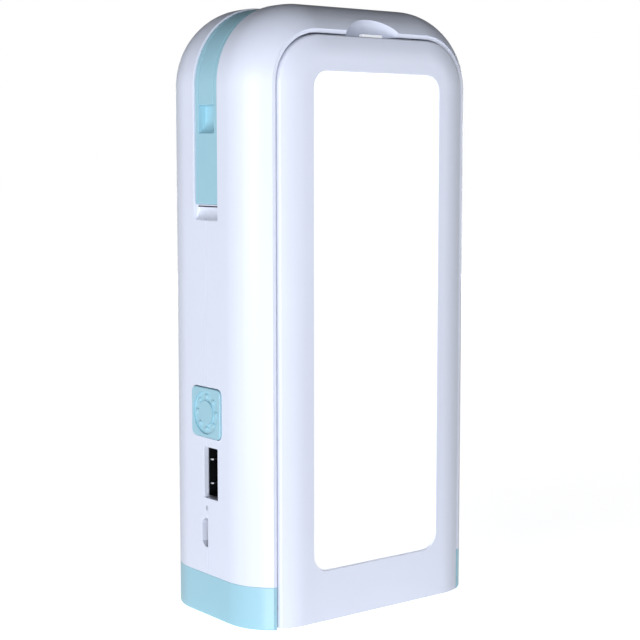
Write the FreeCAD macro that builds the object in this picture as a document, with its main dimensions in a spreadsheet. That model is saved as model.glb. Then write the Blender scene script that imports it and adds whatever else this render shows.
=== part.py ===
import FreeCAD, Part
import math
import os
import Sketcher

# Folding light: a battery body with an arched top, a light panel that folds out of its front on
# a hinge at the floor, a carry handle and a hanging hook that swing up out of its top, and a
# push button and two sockets in its left side. Millimetres, X to the right, Y to the rear, Z up.
# The origin is on the floor, in the middle of the body, in the plane where its two shells meet.

os.makedirs("parts", exist_ok=True)
doc = FreeCAD.newDocument("folding_light")
sheet = doc.addObject("Spreadsheet::Sheet", "dim")
sheet.Label = "driving dimensions"
reader = doc.addObject("App::FeaturePython", "reader")

driving = {
    "body": {
        "body_width": 76.2,
        "body_depth": 47.6,
        "body_height": 160,
        "arch_radius": 21,
        "edge_radius": 14.5,
        "wall": 2,
        "seam_gap": 0.14,
        "seam_chamfer": 0.04,
        "rim_depth": 2.7,
        "rim_width": 1,
        "recess_wall": 1.5,
        "overcut": 1,
    },
    "base cap": {
        "base_height": 11.3,
        "base_wall": 3.3,
        "base_floor": 2,
        "base_edge_radius": 0.6,
        "lip_height": 2.5,
        "lip_thickness": 1.1,
        "lip_length": 18,
        "lip_play": 0.1,
    },
    "light panel": {
        "panel_side_inset": 7.55,
        "panel_top_inset": 8.5,
        "panel_bottom": 0.5,
        "panel_corner_radius": 12.5,
        "panel_edge_round": 0.7,
        "panel_thickness": 8.5,
        "panel_gap": 0.5,
        "panel_back_gap": 0.3,
        "face_wall": 2,
        "frame_wall": 3,
        "hinge_block": 11,
        "cover_thickness": 1.5,
        "cover_fit": 0.15,
        "panel_post": 4.4,
        "panel_post_side": 2.4,
        "panel_post_end": 9.4,
        "panel_pilot": 1.5,
        "panel_pilot_spare": 0.5,
    },
    "diffuser and light board": {
        "window_side": 9.45,
        "window_top": 9,
        "window_bottom": 13.3,
        "diffuser_radius": 4.5,
        "diffuser_fit": 0.1,
        "diffuser_setback": 0.7,
        "flange_width": 1.5,
        "flange_thickness": 1,
        "board_thickness": 1.2,
        "ring_wall": 3,
        "chip_width": 2.8,
        "chip_length": 3.5,
        "chip_thickness": 0.7,
        "chip_columns": 4,
        "chip_rows": 12,
        "chip_side_margin": 7.5,
        "chip_end_margin": 9.35,
    },
    "panel hinge": {
        "hinge_inset": 5.6,
        "hinge_rise": 5.7,
        "hinge_sweep_gap": 0.4,
        "hinge_pin": 2,
        "hinge_pin_run": 6,
        "hinge_pin_grip": 2.2,
        "hinge_play": 0.05,
        "washer_width": 5,
        "washer_thickness": 0.4,
    },
    "thumb notch and latch": {
        "notch_radius": 11,
        "notch_forward": 2,
        "notch_drop": 4,
        "notch_backing_width": 25,
        "notch_backing_height": 4.4,
        "notch_backing_depth": 3.8,
        "latch_width": 6.6,
        "latch_thickness": 1.6,
        "latch_setback": 2.6,
        "latch_rise": 0.8,
        "latch_foot_width": 11,
        "latch_foot_height": 1.5,
        "latch_fit": 0.1,
    },
    "carry handle": {
        "strap_width": 10.2,
        "strap_thickness": 3.6,
        "strap_recess": 0.4,
        "strap_drop": 30.3,
        "strap_side_gap": 0.2,
        "strap_back_gap": 0.3,
        "strap_end_gap": 0.7,
        "rib_wall": 1.6,
        "scoop_height": 3.4,
        "scoop_depth": 1.6,
        "scoop_radius": 4,
        "pivot_past_arch": 1.9,
        "pivot_pin": 2,
        "pivot_play": 0.05,
        "pivot_grip": 1.5,
    },
    "hanging hook": {
        "hook_width": 6.8,
        "hook_thickness": 2.2,
        "hook_drop": 4.95,
        "hook_side_gap": 0.15,
        "hook_back_gap": 0.15,
        "hook_scoop_height": 7,
        "hook_scoop_rise": 3.4,
        "hook_scoop_radius": 3.7,
        "hook_pivot_gap": 14,
        "hook_pin": 1,
    },
    "power button": {
        "button_size": 13,
        "button_radius": 1.6,
        "button_height": 54.5,
        "button_proud": 0.45,
        "button_gap": 0.2,
        "button_depth": 2.4,
        "button_wall": 1.2,
        "button_edge": 0.2,
        "button_flange": 1,
        "button_flange_thickness": 0.8,
        "ring_outer": 11.4,
        "ring_inner": 6.3,
        "ring_depth": 0.5,
        "dot_size": 0.9,
        "dot_circle": 8.6,
        "dot_count": 8,
        "pusher_size": 3.2,
        "pusher_length": 1.6,
        "button_travel": 0.8,
    },
    "switch": {
        "switch_height": 6,
        "switch_length": 3.6,
        "plunger_size": 2.6,
        "plunger_length": 2.2,
        "plunger_showing": 1.2,
        "plunger_play": 0.1,
    },
    "sockets": {
        "board_front": 2.6,
        "usb_a_hole_width": 6.2,
        "usb_a_hole_height": 13.6,
        "usb_a_width": 5.7,
        "usb_a_height": 13.1,
        "usb_a_length": 14.4,
        "usb_a_wall": 0.3,
        "usb_a_y": -1.6,
        "usb_a_gap": 2.6,
        "usb_a_setback": 1.2,
        "tongue_setback": 3,
        "tongue_width": 1.8,
        "tongue_height": 11.1,
        "tongue_root": 4,
        "contact_width": 1,
        "contact_thickness": 0.25,
        "contact_pitch": 2.3,
        "contact_length": 6,
        "charge_width": 2.6,
        "charge_height": 7.5,
        "charge_flare": 1.2,
        "charge_spacing": 2.8,
        "charge_length": 5,
        "charge_setback": 2.2,
        "charge_wall": 0.25,
        "charge_gap": 0.1,
        "charge_tongue": 0.7,
        "light_pipe_size": 1.3,
        "light_pipe_y": 0.4,
        "light_pipe_gap": 2.8,
        "light_pipe_length": 5,
        "charge_light_size": 1.6,
        "charge_light_length": 1.5,
    },
    "main board": {
        "main_board_thickness": 1.6,
        "main_board_side_gap": 4.5,
        "main_board_tray_gap": 1.1,
        "main_board_below": 1.7,
        "main_board_above": 5,
        "standoff_size": 5,
        "standoff_from_right": 10,
        "standoff_from_end": 4,
        "chip_inset": 1,
        "chip_side": 5,
        "control_thickness": 1.4,
        "choke_side": 6,
        "choke_height": 3.2,
    },
    "battery": {
        "cell_size": 18.4,
        "cell_length": 65,
        "cell_gap": 0.6,
        "tray_side_gap": 2.2,
        "tray_gap": 0.8,
        "cell_terminal": 6,
        "cell_terminal_height": 1,
        "tray_wall": 1.5,
        "tray_floor": 2,
        "tray_side": 9,
        "tray_play": 0.2,
        "strip_width": 8,
        "strip_thickness": 0.2,
    },
    "screws": {
        "case_post": 6.4,
        "case_post_side": 14.1,
        "case_post_above_tray": 9.1,
        "case_post_below_top": 22,
        "case_pilot": 2,
        "pilot_spare": 1,
        "case_clear": 2.6,
        "case_head": 4.6,
        "case_head_height": 1.6,
        "case_screw_length": 12,
        "case_seat": 6,
        "head_clear": 0.3,
        "base_post": 6.6,
        "base_post_side": 13.1,
        "base_post_front": 7.4,
        "base_post_rear": 7.6,
        "base_post_height": 8,
        "base_seat": 5.5,
        "base_screw_length": 11,
        "panel_head": 3,
        "panel_head_height": 0.8,
        "panel_screw_length": 4.5,
        "board_screw_length": 6,
        "board_head_height": 1.2,
        "slot_width": 0.7,
        "slot_depth": 0.7,
    },
}

row = 0
for group, sizes in driving.items():
    row += 1
    sheet.set(f"A{row}", group)
    for alias, size in sizes.items():
        row += 1
        sheet.set(f"A{row}", alias)
        sheet.set(f"B{row}", str(size))
        sheet.setAlias(f"B{row}", alias)
doc.recompute()

nodes = []


def number(text):
    """The value of an expression on the sheet."""
    value = reader.evalExpression(text)
    return float(getattr(value, "Value", value))


def node(thing, name):
    """Name a finished sub-part, which is written to a file of that name."""
    thing.Label = name
    nodes.append(thing)
    return thing


def outline(sketch, corners):
    """Draw a closed loop through the corners, each placed by two expressions. A corner with a
    radius and a turn, left or right, has an arc as the side that follows it."""
    spots = [FreeCAD.Vector(number(corner[0]), number(corner[1]), 0) for corner in corners]
    sides = []
    for corner, start, end in zip(corners, spots, spots[1:] + spots[:1]):
        if len(corner) == 2:
            sides.append((sketch.addGeometry(Part.LineSegment(start, end)), 1, 2))
            continue
        radius = number(corner[2])
        leftward = corner[3] == "left"
        chord = end - start
        across = FreeCAD.Vector(-chord.y, chord.x, 0).normalize()
        rise = math.sqrt(max(radius ** 2 - chord.Length ** 2 / 4, 0))
        centre = (start + end) * 0.5 + across * (rise if leftward else -rise)
        first, last = (start, end) if leftward else (end, start)
        circle = Part.Circle(centre, FreeCAD.Vector(0, 0, 1), radius)
        angles = [math.atan2(spot.y - centre.y, spot.x - centre.x) for spot in (first, last)]
        arc = sketch.addGeometry(Part.ArcOfCircle(circle, *angles))
        sides.append((arc, 1, 2) if leftward else (arc, 2, 1))
    for side, following in zip(sides, sides[1:] + sides[:1]):
        join = Sketcher.Constraint("Coincident", side[0], side[2], following[0], following[1])
        sketch.addConstraint(join)
    for corner, side, spot in zip(corners, sides, spots):
        bind(sketch, "DistanceX", (-1, 1, side[0], side[1]), spot.x, corner[0])
        bind(sketch, "DistanceY", (-1, 1, side[0], side[1]), spot.y, corner[1])
        if len(corner) > 2:
            bind(sketch, "Radius", (side[0],), number(corner[2]), corner[2])


def ring(sketch, x, y, diameter):
    """Draw a circle whose centre and diameter are expressions."""
    centre = FreeCAD.Vector(number(x), number(y), 0)
    circle = Part.Circle(centre, FreeCAD.Vector(0, 0, 1), number(diameter) / 2)
    index = sketch.addGeometry(circle)
    bind(sketch, "DistanceX", (-1, 1, index, 3), centre.x, x)
    bind(sketch, "DistanceY", (-1, 1, index, 3), centre.y, y)
    bind(sketch, "Diameter", (index,), number(diameter), diameter)


def bind(sketch, kind, where, value, text):
    """Add a sketch dimension and tie it to its expression."""
    index = sketch.addConstraint(Sketcher.Constraint(kind, *where, value))
    sketch.setExpression(f"Constraints[{index}]", text)


def sketch_on(body, plane, offset, loops):
    """A sketch on one of the body's own planes, moved along the plane's normal, with its loops."""
    sketch = body.newObject("Sketcher::SketchObject", f"{body.Name}_sketch")
    origin_plane = next(f for f in body.Origin.OriginFeatures if f.Role == f"{plane}_Plane")
    sketch.AttachmentSupport = [(origin_plane, "")]
    sketch.MapMode = "FlatFace"
    sketch.setExpression("AttachmentOffset.Base.z", offset)
    for loop in loops:
        if loop[0] == "circle":
            ring(sketch, *loop[1:])
        else:
            outline(sketch, loop)
    return sketch


def pad(body, plane, low, high, *loops):
    """Add material between two levels along the plane's axis."""
    offset = f"-({high})" if plane == "XZ" else low
    feature = body.newObject("PartDesign::Pad", f"{body.Name}_pad")
    feature.Profile = sketch_on(body, plane, offset, loops)
    feature.setExpression("Length", f"({high}) - ({low})")
    doc.recompute()
    return feature


def cut(body, plane, low, high, *loops):
    """Take material away between two levels along the plane's axis, and see that it went."""
    before = body.Shape.Volume
    offset = f"-({low})" if plane == "XZ" else high
    feature = body.newObject("PartDesign::Pocket", f"{body.Name}_pocket")
    feature.Profile = sketch_on(body, plane, offset, loops)
    feature.setExpression("Length", f"({high}) - ({low})")
    doc.recompute()
    if feature.Shape.isNull() or before - feature.Shape.Volume < 1e-4:
        raise RuntimeError(f"{feature.Name} cut nothing")
    return feature


def edges_in(shape, axis, level, above=-math.inf):
    """Names of the edges that lie flat in one plane and reach above a height."""
    names = []
    for index, edge in enumerate(shape.Edges, 1):
        box = edge.BoundBox
        low, high = getattr(box, axis + "Min"), getattr(box, axis + "Max")
        if max(abs(low - level), abs(high - level)) < 1e-4 and box.ZMax > above + 1e-4:
            names.append(f"Edge{index}")
    return names


def edges_between(shape, axis, low, high):
    """Names of the edges that lie wholly between two levels on an axis."""
    names = []
    for index, edge in enumerate(shape.Edges, 1):
        bounds = edge.BoundBox
        if getattr(bounds, axis + "Min") > low and getattr(bounds, axis + "Max") < high:
            names.append(f"Edge{index}")
    return names


def faces_in(shape, axis, level):
    """Names of the flat faces that lie in one plane."""
    names = []
    for index, face in enumerate(shape.Faces, 1):
        box = face.BoundBox
        low, high = getattr(box, axis + "Min"), getattr(box, axis + "Max")
        if max(abs(low - level), abs(high - level)) < 1e-4:
            names.append(f"Face{index}")
    return names


def rounded(body, base, edges, radius):
    """Round the named edges of the body's last feature."""
    feature = body.newObject("PartDesign::Fillet", f"{body.Name}_fillet")
    feature.Base = (base, edges)
    feature.setExpression("Radius", radius)
    doc.recompute()
    return feature


def chamfered(body, base, edges, size):
    """Bevel the named edges of the body's last feature."""
    feature = body.newObject("PartDesign::Chamfer", f"{body.Name}_chamfer")
    feature.Base = (base, edges)
    feature.setExpression("Size", size)
    doc.recompute()
    return feature


def new_body(name):
    """An empty body, whose label names its file."""
    return node(doc.addObject("PartDesign::Body", name), name)


def box(low, high):
    """A block between two corners."""
    block = doc.addObject("Part::Box", "block")
    for size, axis, start, end in zip(("Length", "Width", "Height"), "xyz", low, high):
        block.setExpression(size, f"({end}) - ({start})")
        block.setExpression(f"Placement.Base.{axis}", start)
    return block


def rod(axis, centre, low, high, diameter):
    """A round bar along an axis, its centre given by the two other coordinates in order."""
    bar = doc.addObject("Part::Cylinder", "bar")
    turns = {"x": FreeCAD.Rotation(FreeCAD.Vector(0, 1, 0), 90),
             "y": FreeCAD.Rotation(FreeCAD.Vector(1, 0, 0), -90),
             "z": FreeCAD.Rotation()}
    bar.Placement = FreeCAD.Placement(FreeCAD.Vector(), turns[axis])
    spots = list(centre)
    spots.insert("xyz".index(axis), low)
    for name, spot in zip("xyz", spots):
        bar.setExpression(f"Placement.Base.{name}", spot)
    bar.setExpression("Height", f"({high}) - ({low})")
    bar.setExpression("Radius", f"({diameter}) / 2")
    return bar


def less(base, tool):
    """The base with the tool cut out of it."""
    result = doc.addObject("Part::Cut", "cut")
    result.Base = base
    result.Tool = tool
    return result


def joined(*pieces):
    """Pieces that touch, as one solid."""
    result = doc.addObject("Part::MultiFuse", "joined")
    result.Shapes = list(pieces)
    return result


def group(name, pieces):
    """Like pieces that stay separate solids in one node."""
    result = doc.addObject("Part::Compound", name)
    result.Links = list(pieces)
    return node(result, name)


def rectangle(left, right, bottom, top):
    """The loop of a plain rectangle."""
    return [(left, bottom), (left, top), (right, top), (right, bottom)]


def rounded_rectangle(left, right, bottom, top, radius):
    """The loop of a rectangle with round corners."""
    return [(left, f"({bottom}) + ({radius})"),
            (left, f"({top}) - ({radius})", radius, "right"),
            (f"({left}) + ({radius})", top),
            (f"({right}) - ({radius})", top, radius, "right"),
            (right, f"({top}) - ({radius})"),
            (right, f"({bottom}) + ({radius})", radius, "right"),
            (f"({right}) - ({radius})", bottom),
            (f"({left}) + ({radius})", bottom, radius, "right")]


def round_backed(left, right, near, far, radius):
    """The loop of a plan view that is square in front and round at its two rear corners."""
    return [(left, near),
            (left, f"({far}) - ({radius})", radius, "right"),
            (f"({left}) + ({radius})", far),
            (f"({right}) - ({radius})", far, radius, "right"),
            (right, f"({far}) - ({radius})"),
            (right, near)]


def circles(spots, diameter):
    """Loops of equal circles at several places."""
    return [("circle", across, up, diameter) for across, up in spots]


def arch(half, bottom, top, radius):
    """The loop of the body's front view: straight sides, a flat top and round shoulders."""
    return [(f"-({half})", bottom),
            (f"-({half})", f"({top}) - ({radius})", radius, "right"),
            (f"-({half}) + ({radius})", top),
            (f"({half}) - ({radius})", top, radius, "right"),
            (half, f"({top}) - ({radius})"),
            (half, bottom)]


def strap_path(outer, inner, lower, right):
    """The loop of a band that lies along the left side and the top, between two depths under
    the surface, from a lower end on the left to a right end on the top."""
    centre = f"{side} - dim.arch_radius"
    return [(f"-({side} - ({outer}))", lower),
            (f"-({side} - ({outer}))", shoulder, f"dim.arch_radius - ({outer})", "right"),
            (f"-({centre})", f"dim.body_height - ({outer})"),
            (right, f"dim.body_height - ({outer})"),
            (right, f"dim.body_height - ({inner})"),
            (f"-({centre})", f"dim.body_height - ({inner})", f"dim.arch_radius - ({inner})", "left"),
            (f"-({side} - ({inner}))", shoulder),
            (f"-({side} - ({inner}))", lower)]


# Planes, lines and places that several pieces share.
side = "dim.body_width / 2"
button_z = "dim.button_height"
front = "-dim.body_depth / 2"
rear = "dim.body_depth / 2"
panel_face = front
panel_back = f"{panel_face} + dim.panel_thickness"
recess_floor = f"{panel_back} + dim.panel_back_gap"
recess_back = f"{recess_floor} + dim.recess_wall"
rim = f"{front} + dim.rim_depth"
panel_half = f"({side} - dim.panel_side_inset)"
panel_top = "(dim.body_height - dim.panel_top_inset)"
recess_half = f"{panel_half} + dim.panel_gap"
recess_top = f"{panel_top} + dim.panel_gap"
recess_radius = "dim.panel_corner_radius + dim.panel_gap"
hinge_y = f"{panel_face} + dim.hinge_inset"
sweep = "dim.hinge_rise - dim.panel_bottom"
base_recess = f"{hinge_y} + {sweep} + dim.hinge_sweep_gap"
seat_depth = "dim.strap_recess + dim.strap_thickness + dim.strap_back_gap"
seat_half = "dim.strap_width / 2 + dim.strap_side_gap"
shoulder = "(dim.body_height - dim.arch_radius)"
strap_end = f"({shoulder} - dim.strap_drop)"
hook_end = f"({shoulder} - dim.hook_drop)"
pivot_x = f"({side} - dim.arch_radius + dim.pivot_past_arch)"
pivot_z = "dim.body_height - dim.strap_recess - dim.strap_thickness / 2"
hook_x = f"({pivot_x} - dim.hook_pivot_gap)"
usb_z = (f"({button_z} - dim.button_size / 2 - dim.usb_a_gap"
         " - dim.usb_a_hole_height / 2)")
pipe_z = f"({usb_z} - dim.usb_a_hole_height / 2 - dim.light_pipe_gap)"
charge_z = f"({pipe_z} - dim.charge_spacing - dim.charge_height / 2)"
cell_half = "(dim.cell_size + dim.cell_gap / 2 + dim.tray_play)"
cell_x = f"({side} - dim.wall - dim.tray_side_gap - dim.tray_wall - {cell_half})"
tray_foot = "(dim.base_height + dim.base_post_height + dim.tray_gap)"
tray_low = f"({tray_foot} + dim.tray_wall)"
cell_low = f"({tray_low} + dim.tray_play + dim.strip_thickness)"
cell_high = f"({cell_low} + dim.cell_length)"
tray_high = f"({cell_high} + dim.strip_thickness + dim.tray_play)"
case_x = f"({side} - dim.case_post_side)"
case_heights = (f"({tray_high} + dim.tray_wall + dim.case_post_above_tray)",
                "(dim.body_height - dim.case_post_below_top)")
case_posts = [(x, z) for x in (f"-{case_x}", case_x) for z in case_heights]
base_x = f"({side} - dim.base_post_side)"
base_front = f"({recess_back} + dim.base_post_front)"
base_rear = f"({rear} - dim.base_post_rear)"
base_posts = [(x, y) for x in (f"-{base_x}", base_x) for y in (base_front, base_rear)]
base_pilot_top = "dim.base_seat + dim.base_screw_length + dim.pilot_spare"
board_left = f"(-({side}) + dim.main_board_side_gap)"
board_right = f"({cell_x} - {cell_half} - dim.tray_wall - dim.main_board_tray_gap)"
board_low = f"({charge_z} - dim.charge_height / 2 - dim.main_board_below)"
board_high = f"({button_z} + dim.button_size / 2 + dim.main_board_above)"
standoff_x = f"({board_right} - dim.standoff_from_right)"
standoffs = [(standoff_x, f"({board_low} + dim.standoff_from_end)"),
             (standoff_x, f"({board_high} - dim.standoff_from_end)")]
usb_low = "dim.usb_a_y - dim.usb_a_width / 2"
usb_high = "dim.usb_a_y + dim.usb_a_width / 2"
usb_mouth = f"-({side}) + dim.usb_a_setback"
usb_back = f"{usb_mouth} + dim.usb_a_length"
charge_mouth = f"-({side}) + dim.charge_setback"
switch_face = (f"-({side}) + dim.button_depth + dim.pusher_length"
               " + dim.plunger_showing")
board_back = "dim.board_front + dim.main_board_thickness"


def half_shell(name, low, high, face):
    """One of the two moulded halves of the arched case: a block with its outer edges rounded,
    hollowed from the seam and from below."""
    shell = new_body(name)
    block = pad(shell, "XZ", low, high, arch(side, "dim.base_height", "dim.body_height",
                                             "dim.arch_radius"))
    outer = edges_in(block.Shape, "Y", number(face), number("dim.base_height"))
    soft = rounded(shell, block, outer, "dim.edge_radius")
    seam = low if face == high else high
    hollow = shell.newObject("PartDesign::Thickness", f"{name}_thickness")
    hollow.Base = (soft, faces_in(soft.Shape, "Y", number(seam))
                   + faces_in(soft.Shape, "Z", number("dim.base_height")))
    hollow.Reversed = True
    hollow.setExpression("Value", "dim.wall")
    doc.recompute()
    limits = (number(side), number("dim.body_height"))
    seam_edges = []
    for name in edges_in(hollow.Shape, "Y", number(seam)):
        bounds = hollow.Shape.getElement(name).BoundBox
        reach = max(-bounds.XMin, bounds.XMax)
        if reach > limits[0] - 1e-4 or bounds.ZMax > limits[1] - 1e-4:
            seam_edges.append(name)
    chamfered(shell, hollow, seam_edges, "dim.seam_chamfer")
    return shell


def strap_seat(shell, across):
    """The channel for the carry handle, half in each shell: a rib inside the wall, the channel
    cut into it with a finger scoop at its lower end, and a block for the pivot pin."""
    def reach(width):
        return (f"-({width})", "-dim.seam_gap / 2") if across < 0 else ("dim.seam_gap / 2", width)

    right = f"{pivot_x} + dim.strap_thickness / 2 + dim.strap_back_gap"
    scoop_end = f"{strap_end} - dim.strap_end_gap"
    scoop_low = f"{scoop_end} - dim.scoop_height"
    rib = strap_path("dim.wall / 2", f"{seat_depth} + dim.rib_wall",
                     f"{scoop_low} - dim.rib_wall", f"{right} + dim.rib_wall")
    pad(shell, "XZ", *reach(f"{seat_half} + dim.rib_wall"), rib)
    block = rectangle(f"{pivot_x} - dim.pivot_pin * 1.5", f"{right} + dim.rib_wall",
                      f"dim.body_height - ({seat_depth}) - dim.rib_wall",
                      "dim.body_height - dim.wall / 2")
    pad(shell, "XZ", *reach(f"{seat_half} + dim.rib_wall + dim.pivot_grip"), block)
    channel = strap_path("-dim.overcut", seat_depth, scoop_low, right)
    channel[-1:] = [(f"-({side} - ({seat_depth}))", scoop_end),
                    (f"-({side} - dim.scoop_depth)", scoop_end, "dim.scoop_radius", "right"),
                    (f"-({side})", scoop_low)]
    cut(shell, "XZ", *reach(seat_half), channel)
    pin = ("circle", pivot_x, pivot_z, "dim.pivot_pin")
    cut(shell, "XZ", *reach(f"{seat_half} + dim.rib_wall + dim.pivot_grip / 2"), pin)


def side_holes(shell, *loops):
    """Holes through the left wall."""
    cut(shell, "YZ", f"-({side}) - dim.overcut", f"-({side}) + dim.wall + dim.overcut", *loops)


button_hole = rounded_rectangle("-dim.button_size / 2 - dim.button_gap",
                                "dim.button_size / 2 + dim.button_gap",
                                f"{button_z} - dim.button_size / 2 - dim.button_gap",
                                f"{button_z} + dim.button_size / 2 + dim.button_gap",
                                "dim.button_radius + dim.button_gap")
usb_hole = rectangle("dim.usb_a_y - dim.usb_a_hole_width / 2",
                     "dim.usb_a_y + dim.usb_a_hole_width / 2",
                     f"{usb_z} - dim.usb_a_hole_height / 2",
                     f"{usb_z} + dim.usb_a_hole_height / 2")
light_hole = ("circle", "dim.light_pipe_y", pipe_z, "dim.light_pipe_size")


def charge_loop(grow):
    """The charging socket's front: a slot with its two rear corners cut off."""
    near = f"dim.board_front - dim.charge_width - ({grow})"
    far = f"dim.board_front + ({grow})"
    half = f"dim.charge_height / 2 + ({grow})"
    bend = "dim.board_front - dim.charge_width / 2"
    return [(near, f"{charge_z} - ({half})"),
            (near, f"{charge_z} + ({half})"),
            (bend, f"{charge_z} + ({half})"),
            (far, f"{charge_z} + ({half}) - dim.charge_flare"),
            (far, f"{charge_z} - ({half}) + dim.charge_flare"),
            (bend, f"{charge_z} - ({half})")]


# Front shell: white moulded half with the recess that the light panel folds into, its flat rim,
# a thumb notch in the top edge and blind posts for the case screws.
shell = half_shell("front_shell", front, "-dim.seam_gap / 2", front)
strap_seat(shell, -1)
pad(shell, "XZ", f"{rim} + dim.panel_gap", recess_back,
    arch(f"{recess_half} + dim.recess_wall", "dim.base_height",
         f"{recess_top} + dim.recess_wall", f"{recess_radius} + dim.recess_wall"))
cut(shell, "XZ", f"{front} - dim.overcut", rim,
    arch(f"{recess_half} + dim.rim_width", "dim.base_height - dim.overcut",
         f"{recess_top} + dim.rim_width", f"{recess_radius} + dim.rim_width"))
cut(shell, "XZ", f"{rim} - dim.overcut", recess_floor,
    arch(recess_half, "dim.base_height - dim.overcut", recess_top, recess_radius))
pad(shell, "XZ", recess_back, "-dim.seam_gap / 2", *circles(case_posts, "dim.case_post"))
cut(shell, "XZ", "dim.case_seat - dim.case_screw_length - dim.pilot_spare", "0",
    *circles(case_posts, "dim.case_pilot"))
pad(shell, "XY", "dim.base_height", "dim.base_height + dim.base_post_height",
    *[rectangle(f"{x} - dim.base_post / 2", f"{x} + dim.base_post / 2",
                recess_back, f"{base_front} + dim.base_post / 2") for x in (f"-{base_x}", base_x)])
cut(shell, "XY", "dim.base_height - dim.overcut", base_pilot_top,
    *circles([spot for spot in base_posts if spot[1] == base_front], "dim.case_pilot"))
side_holes(shell, button_hole, usb_hole, light_hole)
pad(shell, "XZ", f"{recess_floor} - dim.notch_backing_depth", recess_floor,
    rectangle("-dim.notch_backing_width / 2", "dim.notch_backing_width / 2",
              recess_top, f"{recess_top} + dim.notch_backing_height"))
notch = shell.newObject("PartDesign::SubtractiveSphere", "thumb_notch")
notch.setExpression("Radius", "dim.notch_radius")
notch.setExpression("Placement.Base.y", f"{front} - dim.notch_forward")
notch.setExpression("Placement.Base.z", f"{panel_top} - dim.notch_drop")
doc.recompute()

# Rear shell: white moulded half with a plain back, through posts for the case screws, whose
# heads sit deep in it, and the standoffs of the main board.
shell = half_shell("rear_shell", "dim.seam_gap / 2", rear, rear)
strap_seat(shell, 1)
pad(shell, "XZ", "dim.seam_gap / 2", f"{rear} - dim.wall / 2",
    *circles(case_posts, "dim.case_post + dim.wall / 2"))
cut(shell, "XZ", "0", "dim.case_seat + dim.overcut", *circles(case_posts, "dim.case_clear"))
cut(shell, "XZ", "dim.case_seat", f"{rear} + dim.overcut",
    *circles(case_posts, "dim.case_head + dim.head_clear * 2"))
pad(shell, "XY", "dim.base_height", "dim.base_height + dim.base_post_height",
    *[rectangle(f"{x} - dim.base_post / 2", f"{x} + dim.base_post / 2",
                f"{base_rear} - dim.base_post / 2", f"{rear} - dim.wall / 2")
      for x in (f"-{base_x}", base_x)])
cut(shell, "XY", "dim.base_height - dim.overcut", base_pilot_top,
    *circles([spot for spot in base_posts if spot[1] == base_rear], "dim.case_pilot"))
pad(shell, "XZ", board_back, f"{rear} - dim.wall / 2",
    *circles(standoffs, "dim.standoff_size"))
cut(shell, "XZ", f"{board_back} - dim.overcut", f"{board_back} + dim.board_screw_length",
    *circles(standoffs, "dim.case_pilot"))
side_holes(shell, button_hole, usb_hole, light_hole, charge_loop("dim.charge_gap"))

# Base cap: pale blue moulded foot that closes the shells from below, with the solid corners
# that hold the panel's hinge pins, two lips inside the shells and four screw wells.
cap = new_body("base_cap")
block = pad(cap, "XY", "0", "dim.base_height",
            rounded_rectangle(f"-({side})", side, front, rear, "dim.edge_radius"))
rounded(cap, block, edges_in(block.Shape, "Z", 0), "dim.base_edge_radius")
cut(cap, "XY", "-dim.overcut", "dim.base_height + dim.overcut",
    rectangle(f"-({recess_half} + dim.rim_width)", f"{recess_half} + dim.rim_width",
              f"{front} - dim.overcut", rim))
cut(cap, "XY", "-dim.overcut", "dim.base_height + dim.overcut",
    rectangle(f"-({recess_half})", recess_half, f"{rim} - dim.overcut", base_recess))
cap_front = f"{base_recess} + dim.recess_wall"
cap_side = f"{side} - dim.base_wall"
cap_rear = f"{rear} - dim.base_wall"
cap_corner = "dim.edge_radius - dim.base_wall"
cut(cap, "XY", "dim.base_floor", "dim.base_height + dim.overcut",
    round_backed(f"-({cap_side})", cap_side, cap_front, cap_rear, cap_corner))
lip_out = f"{side} - dim.wall - dim.lip_play"
lip_in = f"{lip_out} - dim.lip_thickness"
pad(cap, "XY", "dim.base_height - dim.overcut", "dim.base_height + dim.lip_height",
    *[rectangle(low, high, "-dim.lip_length / 2", "dim.lip_length / 2")
      for low, high in ((f"-({lip_out})", f"-({lip_in})"), (lip_in, lip_out))])
pad(cap, "XY", "dim.base_floor / 2", "dim.base_height",
    *circles(base_posts, "dim.base_post + dim.wall / 2"))
cut(cap, "XY", "dim.base_floor / 2", "dim.base_height + dim.overcut",
    *circles(base_posts, "dim.case_clear"))
cut(cap, "XY", "-dim.overcut", "dim.base_seat",
    *circles(base_posts, "dim.case_head + dim.head_clear * 2"))
pin_hole = ("circle", hinge_y, "dim.hinge_rise", "dim.hinge_pin")
cut(cap, "YZ", recess_half, f"{recess_half} + dim.hinge_pin_grip", pin_hole)
cut(cap, "YZ", f"-({recess_half}) - dim.hinge_pin_grip", f"-({recess_half})", pin_hole)

# Panel frame: white moulded front of the light panel, flush with the body and with the body's own
# rounding, square at the floor, with a soft outer edge, the diffuser's window, a block for the
# hinge pins and six posts.
frame = new_body("panel_frame")
half = panel_half
block = pad(frame, "XZ", panel_face, f"{panel_face} + dim.edge_radius + dim.overcut",
            arch(side, "dim.panel_bottom", "dim.body_height", "dim.arch_radius"))
edges = edges_in(block.Shape, "Y", number(panel_face), number("dim.panel_bottom"))
rounded(frame, block, edges, "dim.edge_radius")
cut(frame, "XZ", f"{panel_face} - dim.overcut",
    f"{panel_face} + dim.edge_radius + dim.overcut * 2",
    rectangle("-dim.body_width", "dim.body_width", "-dim.overcut", "dim.body_height * 1.2"),
    arch(half, "0", panel_top, "dim.panel_corner_radius"))
block = cut(frame, "XZ", panel_back, f"{panel_face} + dim.edge_radius + dim.overcut * 2",
            rectangle("-dim.body_width", "dim.body_width", "-dim.overcut", "dim.body_height * 1.2"))
edges = edges_between(block.Shape, "Y", number(panel_face) + 0.1, number(rim))
rounded(frame, block, edges, "dim.panel_edge_round")
window_half = f"({half} - dim.window_side)"
window_low = "(dim.panel_bottom + dim.window_bottom)"
window_high = f"({panel_top} - dim.window_top)"
cavity_half = f"{half} - dim.frame_wall"
cavity_low = "dim.panel_bottom + dim.hinge_block"
cavity_top = f"{panel_top} - dim.frame_wall"
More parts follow.
